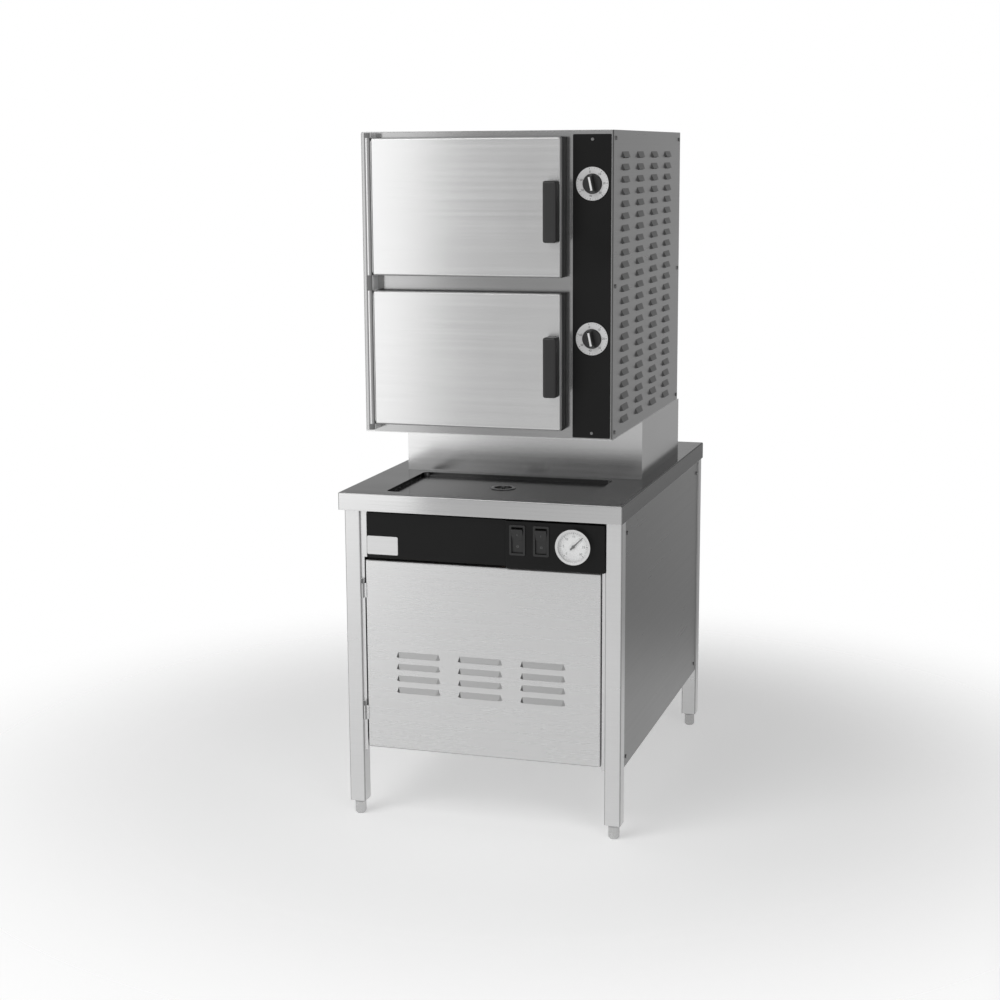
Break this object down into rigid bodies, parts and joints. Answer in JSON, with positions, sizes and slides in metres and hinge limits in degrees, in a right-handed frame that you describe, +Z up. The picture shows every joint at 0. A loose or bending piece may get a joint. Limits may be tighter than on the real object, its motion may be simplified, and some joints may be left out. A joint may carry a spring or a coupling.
{
  "type": "convection steamer",
  "caption": "Floor-standing steamer: stacked cooking compartments with hinged doors on a pedestal over a boiler cabinet with square legs.",
  "frame": {"origin": "on the floor, under the middle of the whole object", "axes": "+Z up, +X to the right as seen from the front, +Y to the back; the doors face -Y"},
  "size_m": [0.616, 0.914, 1.463],
  "materials": {
    "brushed_steel": "fine horizontal brushed satin",
    "door_steel": "bright satin",
    "inner_steel": "plain mill finish",
    "black_enamel": "semi-gloss black enamel",
    "black_plastic": "moulded black phenolic",
    "black_rubber": "matte black silicone",
    "dial_white": "white with black marks",
    "chrome": "polished",
    "glass": "clear",
    "needle_black": "matte black",
    "plate_aluminium": "satin, blank",
    "copper": "drawn tube",
    "brass": "cast brass",
    "boiler_steel": "grey primer",
    "motor_grey": "grey enamel",
    "contactor_plastic": "moulded",
    "lever_red": "dipped vinyl grip",
    "zinc": "zinc plated"
  },
  "bodies": {
    "cabinet": {"counter_top": "brushed_steel", "legs": "brushed_steel", "base_side_left": "brushed_steel", "base_side_right": "brushed_steel", "base_rear_panel": "brushed_steel", "base_floor": "inner_steel", "lower_fascia": "black_enamel", "data_plate": "plate_aluminium", "control_box": "black_enamel", "switch_housings": "black_plastic", "gauge_case": "chrome", "gauge_dial": "dial_white", "gauge_lens": "glass", "counter_drain": "inner_steel", "pedestal": "brushed_steel", "head_casing": "brushed_steel", "head_right_side": "brushed_steel", "head_rear": "brushed_steel", "front_frame": "brushed_steel", "upper_cavity": "inner_steel", "lower_cavity": "inner_steel", "pan_racks": "inner_steel", "fan_baffles": "inner_steel", "fan_motors": "motor_grey", "hinge_brackets": "brushed_steel", "hinge_pins": "zinc", "head_control_panel": "black_enamel", "timer_dials": "dial_white", "timer_bodies": "contactor_plastic", "boiler_tank": "boiler_steel", "heating_elements": "zinc", "valves": "brass", "pipework": "copper", "service_unions": "brass", "contactors": "contactor_plastic", "screws": "zinc"},
    "upper_door": {"upper_door_skin": "door_steel", "upper_door_liner": "inner_steel", "upper_door_gasket": "black_rubber"},
    "upper_latch": {"upper_handle": "black_plastic", "upper_latch_hook": "zinc"},
    "upper_knob": {"upper_timer_knob": "black_plastic"},
    "upper_fan": {"upper_fan_wheel": "inner_steel"},
    "lower_door": {"lower_door_skin": "door_steel", "lower_door_liner": "inner_steel", "lower_door_gasket": "black_rubber"},
    "lower_latch": {"lower_handle": "black_plastic", "lower_latch_hook": "zinc"},
    "lower_knob": {"lower_timer_knob": "black_plastic"},
    "lower_fan": {"lower_fan_wheel": "inner_steel"},
    "left_switch": {"left_rocker": "black_plastic"},
    "right_switch": {"right_rocker": "black_plastic"},
    "needle": {"gauge_needle": "needle_black"},
    "cabinet_door": {"base_door": "brushed_steel"},
    "blowdown_lever": {"valve_lever": "lever_red"},
    "strainer": {"drain_strainer": "inner_steel"},
    "levelling_foot_front_left": {"foot_front_left": "zinc"},
    "levelling_foot_front_right": {"foot_front_right": "zinc"},
    "levelling_foot_rear_left": {"foot_rear_left": "zinc"},
    "levelling_foot_rear_right": {"foot_rear_right": "zinc"}
  },
  "joints": [
    {"name": "upper_door_hinge", "type": "hinge", "parent": "cabinet", "child": "upper_door", "pos_m": [-0.2248, -0.4185, 1.3125], "axis": [0, 0, -1], "range_deg": [0, 175]},
    {"name": "upper_handle_pivot", "type": "hinge", "parent": "upper_door", "child": "upper_latch", "pos_m": [0.1695, -0.432, 1.3535], "axis": [-1, 0, 0], "range_deg": [0, 18], "stiffness_Nm_per_rad": 1.2},
    {"name": "upper_timer_turn", "type": "hinge", "parent": "cabinet", "child": "upper_knob", "pos_m": [0.237, -0.3885, 1.3585], "axis": [0, 1, 0], "range_deg": [0, 300]},
    {"name": "upper_fan_spin", "type": "hinge", "parent": "cabinet", "child": "upper_fan", "pos_m": [-0.017, 0.177, 1.3125], "axis": [0, 1, 0], "continuous": true},
    {"name": "lower_door_hinge", "type": "hinge", "parent": "cabinet", "child": "lower_door", "pos_m": [-0.2248, -0.4185, 1.0055], "axis": [0, 0, -1], "range_deg": [0, 175]},
    {"name": "lower_handle_pivot", "type": "hinge", "parent": "lower_door", "child": "lower_latch", "pos_m": [0.1695, -0.432, 1.0465], "axis": [-1, 0, 0], "range_deg": [0, 18], "stiffness_Nm_per_rad": 1.2},
    {"name": "lower_timer_turn", "type": "hinge", "parent": "cabinet", "child": "lower_knob", "pos_m": [0.237, -0.3885, 1.0515], "axis": [0, 1, 0], "range_deg": [0, 300]},
    {"name": "lower_fan_spin", "type": "hinge", "parent": "cabinet", "child": "lower_fan", "pos_m": [-0.017, 0.177, 1.0055], "axis": [0, 1, 0], "continuous": true},
    {"name": "left_rocker_tilt", "type": "hinge", "parent": "cabinet", "child": "left_switch", "pos_m": [0.085, -0.401, 0.634], "axis": [-1, 0, 0], "range_deg": [0, 20]},
    {"name": "right_rocker_tilt", "type": "hinge", "parent": "cabinet", "child": "right_switch", "pos_m": [0.136, -0.401, 0.634], "axis": [-1, 0, 0], "range_deg": [0, 20]},
    {"name": "gauge_needle_turn", "type": "hinge", "parent": "cabinet", "child": "needle", "pos_m": [0.206, -0.408, 0.628], "axis": [0, 1, 0], "range_deg": [-180, 90]},
    {"name": "base_door_hinge", "type": "hinge", "parent": "cabinet", "child": "cabinet_door", "pos_m": [-0.2605, -0.403, 0.36], "axis": [0, 0, -1], "range_deg": [0, 120]},
    {"name": "blowdown_turn", "type": "hinge", "parent": "cabinet", "child": "blowdown_lever", "pos_m": [-0.105, -0.125, 0.215], "axis": [0, 0, -1], "range_deg": [0, 90]},
    {"name": "strainer_lift", "type": "slide", "parent": "cabinet", "child": "strainer", "axis": [0, 0, 1], "range_m": [0, 0.12]},
    {"name": "foot_front_left_adjust", "type": "slide", "parent": "cabinet", "child": "levelling_foot_front_left", "axis": [0, 0, -1], "range_m": [0, 0.02]},
    {"name": "foot_front_right_adjust", "type": "slide", "parent": "cabinet", "child": "levelling_foot_front_right", "axis": [0, 0, -1], "range_m": [0, 0.02]},
    {"name": "foot_rear_left_adjust", "type": "slide", "parent": "cabinet", "child": "levelling_foot_rear_left", "axis": [0, 0, -1], "range_m": [0, 0.02]},
    {"name": "foot_rear_right_adjust", "type": "slide", "parent": "cabinet", "child": "levelling_foot_rear_right", "axis": [0, 0, -1], "range_m": [0, 0.02]}
  ]
}
